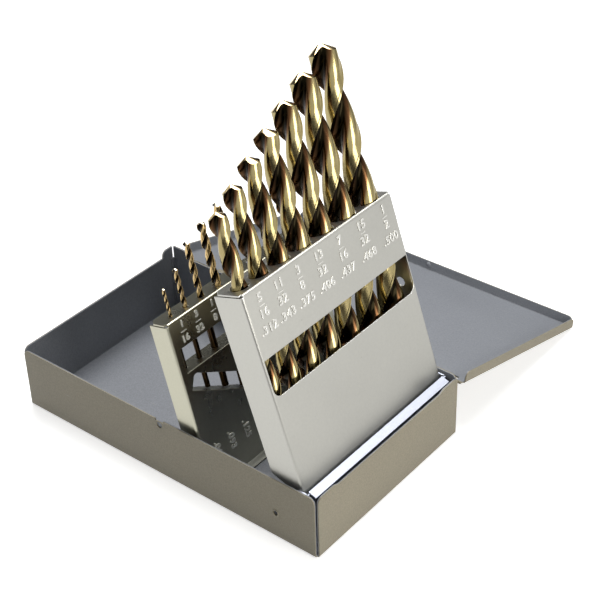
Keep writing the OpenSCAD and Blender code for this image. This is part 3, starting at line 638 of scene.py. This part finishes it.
def bezier(p, n):
    """Cubic Bezier through complex control points, n samples without the end: the sum of Bernstein weights."""
    t = np.arange(n) / n
    w = np.stack([(1 - t) ** 3, 3 * t * (1 - t) ** 2, 3 * t ** 2 * (1 - t), t ** 3])
    return (np.array(p)[:, None] * w).sum(0)


def unit(degrees):
    """The point of the unit circle at an angle, as a complex number; an array of angles gives an array."""
    return np.exp(1j * np.radians(degrees))


def drill_section(web):
    """Complex numbers in radii, clockwise from a cutting corner: margin, back, heel and flute, all twice."""
    margin = unit(np.linspace(0, -8, MARGIN))
    back = CLEARED * unit(np.linspace(-10, BACK_END, BACK))
    ease, root = 0.84 * unit(-100), (0.32 + web) * unit(-119)
    heel = bezier([CLEARED * unit(BACK_END), unit(-72), ease, root], HEEL + 1)[1:]
    flute = bezier([root, root + 0.6 * (root - ease), -0.62 + 0.05j, unit(-180)], HOLLOW)
    half = np.concatenate([margin, back, heel, flute])
    return np.concatenate([half, -half])


section = drill_section(POINT_WEB)
print("points round a section:", len(section), "web in radii:", round(2 * np.abs(section).min(), 2))

# %% [markdown]
# One surface makes a whole drill: the first direction goes up the drill, the second round the section. The
# section is turned as it climbs, which gives the helix, and its web gets thinner towards the point. Where the
# flutes run out, the section is mixed into the shank's circle. The point is a cone whose flanks fall away
# behind the cutting lips: above the lips the rings shrink to the axis.

# %% One drill as a surface
# The point's angle in degrees, how far its flanks fall in radii, and its rings; the body's rings, and how many
# diameters its flutes take to run out; the shank's size and chamfer in radii, and the gap over it in mm; the
# shank's place on the flutes' mask, and the heel's points that take the flutes' painted shade; the helix of
# each row in degrees.
POINT_ANGLE, LIP_RELIEF, CONE_RINGS = 118.0, 0.2, 8
FEWEST_RINGS, RINGS_A_TURN, RUN_OUT = 90, 64, 0.8
SHANK, SHANK_GAP, CHAMFER, CHAMFERED = 0.985, 0.2, 0.06, 0.94
SHANK_TINT, HEEL_SHADED = 0.45, 8
SMALL_HELIX, LARGE_HELIX = 37.0, 35.0


def drill_surface(diameter, length, flute, helix, bearing):
    """Rings from the shank's foot to the point, in mm, with the foot at z = 0.

    A point of the body is the section's radius times the drill's, at the section's angle plus a full turn for
    each lead of height. helix is in degrees, and bearing is where the first cutting corner points, in degrees
    from the rack's x. Returns points (rings, round, 3) and the masks 'flute' (0 on the lands, 1 deep in the
    flute) and 'point' (1 on the ground flanks)."""
    r = diameter / 2
    thin, thick = drill_section(POINT_WEB), drill_section(SHANK_WEB)
    count = len(thin)
    angle0 = np.unwrap(np.angle(thin))
    start = length - flute
    cot = 1 / math.tan(math.radians(POINT_ANGLE / 2))
    behind = np.concatenate([np.linspace(0, 1, LAND), np.linspace(1, 0, HOLLOW)])
    drop = LIP_RELIEF * np.concatenate([behind, behind])
    top = length - r * np.abs(thin) * (cot + drop)
    lead = math.pi * diameter / math.tan(math.radians(helix))

    steps = int(max(FEWEST_RINGS, (flute / lead) * RINGS_A_TURN))
    t = np.linspace(0, 1, steps)[:, None]
    z = start + t * (top[None, :] - start)
    depth = np.clip((z - start) / (RUN_OUT * diameter), 0, 1)
    depth = depth * depth * (3 - 2 * depth)
    climb = np.clip((z - start) / flute, 0, 1)
    shape = thick[None, :] * (1 - climb) + thin[None, :] * climb
    reach, heading = np.abs(shape), np.unwrap(np.angle(shape), axis=1)
    circle = angle0[0] - 2 * np.pi * np.arange(count) / count
    reach = SHANK * (1 - depth) + reach * depth
    heading = circle[None, :] * (1 - depth) + heading * depth
    turn = 2 * np.pi * (z - (length - r * cot)) / lead + math.radians(bearing)
    body = np.stack([r * reach * np.cos(heading + turn), r * reach * np.sin(heading + turn), z], 2)

    inner = np.linspace(0, 1, CONE_RINGS + 1)[1:, None]
    cone = np.empty((CONE_RINGS, count, 3))
    cone[:, :, :2] = body[-1][None, :, :2] * (1 - inner)[:, :, None]
    cone[:, :, 2] = length - r * np.abs(thin)[None, :] * (1 - inner) * (cot + drop)[None, :]

    below = start - SHANK_GAP
    heights = np.array([0.0, 0.0, CHAMFER * r, below / 2, below])
    shrink = SHANK * np.array([0.0, CHAMFERED, 1.0, 1.0, 1.0])
    shank = np.empty((len(heights), count, 3))
    shank[:, :, 0] = r * shrink[:, None] * np.cos(circle + turn[0, 0])[None, :]
    shank[:, :, 1] = r * shrink[:, None] * np.sin(circle + turn[0, 0])[None, :]
    shank[:, :, 2] = heights[:, None]

    points = np.concatenate([shank, body, cone])
    # The flutes' mask, which the finish turns into painted shade: 0 on the lands, rising over the heel's last
    # points, 1 at the flute's root and easing towards the next cutting corner. The shanks sit at SHANK_TINT on
    # it, so they are darker.
    hollow = np.concatenate([np.zeros(LAND - HEEL_SHADED), np.linspace(0, 0.9, HEEL_SHADED),
                             1 - 0.8 * np.linspace(0, 1, HOLLOW) ** 3])
    sides = np.maximum(np.concatenate([hollow, hollow])[None, :] * depth, SHANK_TINT * (1 - depth))
    flute_mask = np.concatenate([np.full(shank.shape[:2], SHANK_TINT), sides, np.zeros(cone.shape[:2])])
    point_mask = np.zeros(points.shape[:2])
    point_mask[-CONE_RINGS:] = 1
    return points, flute_mask, point_mask


smallest = drill_surface(DIAMETERS[0], LENGTHS[0], FLUTES[0], SMALL_HELIX, 0.0)[0]
print("rings, and points round each, of the smallest drill:", smallest.shape[:2])

# %% [markdown]
# A grid of points becomes a mesh when its neighbours are joined by quads. Points in the same place, as at the
# two poles of a drill, are then merged, the faces are turned outwards, and only real creases are left sharp.

# %% From a grid to a mesh
SAME_RING_POINT, GROUND_CREASE = 1e-7, math.radians(38)


def ring_faces(rings, count):
    """Quads between neighbouring points of a grid that closes round its second direction."""
    i, k = np.meshgrid(np.arange(rings - 1), np.arange(count), indexing="ij")
    a = i * count + k
    b = i * count + (k + 1) % count
    return np.stack([a, a + count, b + count, b], 2).reshape(-1, 4)


def surface_mesh(name, points, faces, masks=()):
    """A mesh from points in metres and quads, with smooth faces, sharp creases and named masks."""
    mesh = bpy.data.meshes.new(name)
    mesh.vertices.add(len(points))
    mesh.vertices.foreach_set("co", np.asarray(points, np.float32).ravel())
    mesh.loops.add(faces.size)
    mesh.loops.foreach_set("vertex_index", faces.astype(np.int32).ravel())
    mesh.polygons.add(len(faces))
    mesh.polygons.foreach_set("loop_start", (np.arange(len(faces)) * 4).astype(np.int32))
    mesh.update(calc_edges=True)
    for label, values in masks:
        mask = mesh.attributes.new(label, "FLOAT", "POINT")
        mask.data.foreach_set("value", np.asarray(values, np.float32).ravel())
    bm = bmesh.new()
    bm.from_mesh(mesh)
    bmesh.ops.remove_doubles(bm, verts=bm.verts, dist=SAME_RING_POINT)
    bmesh.ops.recalc_face_normals(bm, faces=bm.faces)
    for face in bm.faces:
        face.smooth = True
    bm.to_mesh(mesh)
    bm.free()
    mesh.set_sharp_from_angle(angle=GROUND_CREASE)
    return mesh


print("quads of the smallest drill:", len(ring_faces(*smallest.shape[:2])))

# %% [markdown]
# The tray's corners are open seams. In the photograph light comes through only at the top of the back left one,
# so lower down something closes them. How the real case does it can't be seen; a narrow tab, bent round behind
# the other wall, is a usual way. Each tab is an angle of thin sheet in its corner, given as the corner's two
# signs and the tab's top. The front right corner has none: its seam is dark and open in the photograph.

# %% Tabs behind the corner seams
TAB_REACH, TAB_SHEET, TAB_FOOT = 1.8, 0.35, 0.95
TAB_X, TAB_Y = 85.55, 50.55
TABS = ((-1, 1, 29.5), (-1, -1, 27.0), (1, 1, 24.0))
angle_profile = np.array([(0, 0), (TAB_REACH, 0), (TAB_REACH, TAB_SHEET), (TAB_SHEET, TAB_SHEET),
                          (TAB_SHEET, TAB_REACH), (0, TAB_REACH)])
sides = len(angle_profile)
tab_points, tab_faces = [], []
for i, (sx, sy, top) in enumerate(TABS):
    xy = (sx, sy) * ((TAB_X, TAB_Y) - angle_profile)
    for z in (TAB_FOOT, top):
        tab_points.append(np.column_stack([xy, np.full(sides, z)]) * MM)
    low = [2 * sides * i + k for k in range(sides)]
    high = [v + sides for v in low]
    tab_faces += [(low[k], low[(k + 1) % sides], high[(k + 1) % sides], high[k]) for k in range(sides)]
    tab_faces += [tuple(high), tuple(reversed(low))]
tab_mesh = bpy.data.meshes.new("tray_corner_tabs")
tab_mesh.from_pydata(np.concatenate(tab_points).tolist(), [], tab_faces)
tab_bm = bmesh.new()
tab_bm.from_mesh(tab_mesh)
bmesh.ops.recalc_face_normals(tab_bm, faces=tab_bm.faces)
tab_bm.to_mesh(tab_mesh)
tab_bm.free()
tab_mesh.materials.append(tray_paint)
tabs = bpy.data.objects.new("tray_corner_tabs", tab_mesh)
scene.collection.objects.link(tabs)
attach(tabs, "tray")
print("corner tabs:", len(tab_mesh.polygons), "faces")

# %% [markdown]
# The rest bump is punched from outside, low in the front wall. The punch leaves a soft raised rim round its
# hollow, in the wall's own paint. It is a ring: a small flattened circle carried round the hole's own circle.

# %% Rim of the punched hollow
RIM_X, RIM_Y, RIM_Z = 64.4, -51.5, 13.88
RIM_RADIUS, RIM_WIDTH, RIM_HEIGHT = 1.6, 0.42, 0.3
RIM_ROUND, RIM_ACROSS = 40, 12
round_the_hole, across_the_rim = np.meshgrid(
    np.linspace(0, 2 * np.pi, RIM_ROUND, endpoint=False),
    np.linspace(0, 2 * np.pi, RIM_ACROSS, endpoint=False), indexing="ij")
out = RIM_RADIUS + RIM_WIDTH * np.cos(across_the_rim)
rim_points = np.stack([RIM_X + out * np.cos(round_the_hole), RIM_Y + RIM_HEIGHT * np.sin(across_the_rim),
                       RIM_Z + out * np.sin(round_the_hole)], 2)
rim_points = np.concatenate([rim_points, rim_points[:1]]).reshape(-1, 3) * MM
rim_mesh = surface_mesh("punched_rim", rim_points, ring_faces(RIM_ROUND + 1, RIM_ACROSS))
rim_mesh.materials.append(tray_paint)
rim = bpy.data.objects.new("punched_rim", rim_mesh)
scene.collection.objects.link(rim)
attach(rim, "tray")
print("rim faces:", len(rim_mesh.polygons))

# %% [markdown]
# Drills of this colour are tempered until an oxide film turns them gold. Here it is brightest on the ground
# lands and the point. The flutes are painted darker: a brown at their sides, partly the oxide's own heat tint
# and partly painted shade, and near black at their bottoms, painted shade and a painted dark reflection. The
# shanks are a darker brown as well. The five smallest drills are a paler gold with darker painted flutes. The
# film's tint is a colour, the metal under it gives the mirror, and very fine grinding lines run round the
# lands.

# %% The drills' gold oxide


def oxide(name, land, side, shaded_bottom, tip, rough, depth):
    """Gold oxide: a tint for the lands and for the point, a brown for the flutes' sides that is partly painted
    shade, and painted shade for their bottoms.
    """
    m, tree, shader, where = new_material(name)
    deep, ground = attribute(tree, "flute"), attribute(tree, "point")
    cloud = place_effect(tree, mottle, Vector=where, Scale=70.0, Amount=0.5)
    upper, lower = spread(tree, deep, 0.0, 0.4, 0.0, 1.0), spread(tree, deep, 0.3, 0.95, 0.0, 1.0)
    body = mix_colours(tree, lower, mix_colours(tree, upper, land, side), shaded_bottom)
    whole = mix_colours(tree, ground, body, tip)
    link(tree, scale_colour(tree, whole, cloud), shader.inputs["Base Color"])
    link(tree, map_value(tree, cloud, rough, rough + 0.06), shader.inputs["Roughness"])
    shader.inputs["Metallic"].default_value = 1.0
    lines = place_effect(tree, relief, Vector=where, Scale=900.0, Depth=1.0, Stretch=(0.3, 0.3, 3.0))
    add_bump(tree, shader, lines, depth)
    return m


# For both oxides the flutes' bottoms are near black, painted shade and a painted dark reflection; their sides
# are a brown that is partly the oxide's heat tint and partly painted shade.
gold = oxide("gold_oxide", land=srgb(166, 152, 108), side=srgb(104, 72, 46), shaded_bottom=srgb(22, 19, 11),
             tip=srgb(232, 208, 158), rough=0.15, depth=0.000012)
thin_gold = oxide("gold_oxide_thin", land=srgb(208, 180, 128), side=srgb(66, 50, 32), shaded_bottom=srgb(8, 6, 4),
                  tip=srgb(246, 232, 200), rough=0.12, depth=0.000003)
print("oxides:", gold.name, thin_gold.name)

# %% [markdown]
# Each drill stands in its hole, turned about its own axis by its bearing. The seven large drills' bearings were
# changed against the photograph in several rounds. The small ones' are mostly a first guess.

# %% Fifteen drills in their holes
BEARINGS = [20, 60, 45, 85, 10, 100, 40, 80, 82, 85, 62, 56, 97, 97, 97]
PALER_DRILLS = 5
for i, size in enumerate(SIZES):
    rack, helix = (REAR, SMALL_HELIX) if i < SMALL else (FRONT, LARGE_HELIX)
    node = "drill_" + size.replace("/", "_")
    grid, flute_mask, point_mask = drill_surface(DIAMETERS[i], LENGTHS[i], FLUTES[i], helix, BEARINGS[i])
    local = grid.reshape(-1, 3) + np.array([rack["row"], places[i], rests[i]])
    mesh = surface_mesh(node + "_ground", in_rack(local, rack), ring_faces(*grid.shape[:2]),
                        [("flute", flute_mask), ("point", point_mask)])
    mesh.materials.append(thin_gold if i < PALER_DRILLS else gold)
    drill = bpy.data.objects.new(node + "_ground", mesh)
    scene.collection.objects.link(drill)
    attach(drill, node)
    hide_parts(node)
    print(node, "points:", len(mesh.vertices))

# %% [markdown]
# Every drill has its size stamped on its rack's face: the fraction near the top, with a bar, and the same size
# as a decimal. On the front rack the decimal stands under the fraction; on the rear rack it is low on the face
# and is taken to read downwards. A press pushes the digits out of the sheet, so they stand a little proud with
# soft shoulders. Blender's own font is near enough to an engraver's plain numerals. Text is turned into a mesh
# before it is put on the face.

# %% Stamped figures and bars
# FONT_SIZE is for figures 1 mm high, and from RISE mm over the sheet they are free of the painted shade; the
# rest is in mm.
FONT_SIZE, RISE = 1.4, 0.14
LINE_GAP, BAR_WIDTH, BAR_HALF, BAR_SLOPE, BAR_ROOT = 3.4, 3.4, 0.27, 0.08, -0.1


def stamped_text(words, height):
    """Outline of the words as a thin rounded plate: (points, faces) with its middle at 0, 0, in mm."""
    curve = bpy.data.curves.new("stamp", "FONT")
    curve.body = words
    curve.size = height * FONT_SIZE
    curve.align_x = "CENTER"
    curve.align_y = "CENTER"
    curve.extrude = 0.20
    curve.bevel_depth = 0.10
    curve.bevel_resolution = 1
    curve.resolution_u = 4
    curve.offset = 0.09
    curve.space_character = 1.12
    holder = bpy.data.objects.new("stamp", curve)
    mesh = bpy.data.meshes.new_from_object(holder)
    co = np.empty(len(mesh.vertices) * 3, np.float32)
    mesh.vertices.foreach_get("co", co)
    faces = [tuple(p.vertices) for p in mesh.polygons]
    bpy.data.objects.remove(holder)
    bpy.data.meshes.remove(mesh)
    bpy.data.curves.remove(curve)
    return co.reshape(-1, 3).astype(float), faces


def bar(width):
    """The fraction's bar as a small block with a narrower top: (points, faces) in mm."""
    square, half = np.array([(-1, -1), (1, -1), (1, 1), (-1, 1)]), np.array([width / 2, BAR_HALF])
    low = np.column_stack([square * half, np.full(4, BAR_ROOT)])
    high = np.column_stack([square * (half - BAR_SLOPE), np.full(4, RISE)])
    sides = [(k, (k + 1) % 4, 4 + (k + 1) % 4, 4 + k) for k in range(4)]
    return np.concatenate([low, high]), [(3, 2, 1, 0), (4, 5, 6, 7)] + sides


print("points of a fraction's bar:", len(bar(BAR_WIDTH)[0]))

# %% [markdown]
# All figures of a rack become one mesh, laid on the rack's face in its own small frame. How far a point stands
# out of the sheet is kept as a mask, and the finish paints shade on the figures' sides with it.

# %% Figures on the racks' faces
# How far aside of the drill, how far below the rack's top and how high, in mm.
FRONT_FRACTION, FRONT_DECIMAL = (1.8, 8.4, 3.8), (2.0, 18.6, 3.7)
REAR_FRACTION, REAR_DECIMAL = (0.6, 6.6, 3.0), (0.8, 66.0, 3.3)


def stamp_rack(name, rack, labels, shade):
    """Joins labels into one mesh on the rack's face and gives it the mask 'rise', 1 on the figures' tops, for
    painted shade.

    A label is (words, y, down, height) in mm, with None for words and the width for the height in the case of a
    bar. A fifth item turns its words to read downwards."""
    points, faces, heights, start = [], [], [], 0
    for words, y, down, height, *turned in labels:
        co, fs = bar(height) if words is None else stamped_text(words, height)
        if turned:
            co = co[:, [1, 0, 2]] * (1, -1, 1)
        flat = np.stack([rack["face"] + co[:, 2], y + co[:, 0], rack["top"] - down + co[:, 1]], 1)
        points.append(in_rack(flat, rack))
        heights.append(np.clip(co[:, 2] / RISE, 0, 1))
        faces += [tuple(v + start for v in f) for f in fs]
        start += len(co)
    mesh = bpy.data.meshes.new(name)
    mesh.from_pydata(np.concatenate(points).tolist(), [], faces)
    mesh.update()
    rise = mesh.attributes.new("rise", "FLOAT", "POINT")
    rise.data.foreach_set("value", np.concatenate(heights).astype(np.float32))
    mesh.materials.append(shade)
    piece = bpy.data.objects.new(name, mesh)
    scene.collection.objects.link(piece)
    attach(piece, rack["body"])
    print(name, "faces:", len(mesh.polygons))


def fraction_labels(size, y, down, height):
    """Numerator, bar and denominator of a size, one above the other, the bar down mm below the rack's top."""
    over, under = size.split("/")
    return [(over, y, down - LINE_GAP, height), (None, y, down, BAR_WIDTH), (under, y, down + LINE_GAP, height)]


def decimal(size):
    """A size in thousandths of an inch as stamped: cut, not rounded, with no nought before the point."""
    over, under = size.split("/")
    return f".{int(1000 * int(over) / int(under)):03d}"


def size_labels(drills, fraction, number, *turned):
    """All labels of those drills: a fraction and a number at their places beside each drill."""
    labels = []
    for i in drills:
        labels += fraction_labels(SIZES[i], places[i] + fraction[0], *fraction[1:])
        labels.append((decimal(SIZES[i]), places[i] + number[0], *number[1:], *turned))
    return labels


front_labels = size_labels(range(SMALL, len(SIZES)), FRONT_FRACTION, FRONT_DECIMAL)
rear_labels = size_labels(range(SMALL), REAR_FRACTION, REAR_DECIMAL, True)
stamp_rack("front_rack_numbers", FRONT, front_labels, stamp_zinc)
stamp_rack("rear_rack_numbers", REAR, rear_labels, rear_stamp)
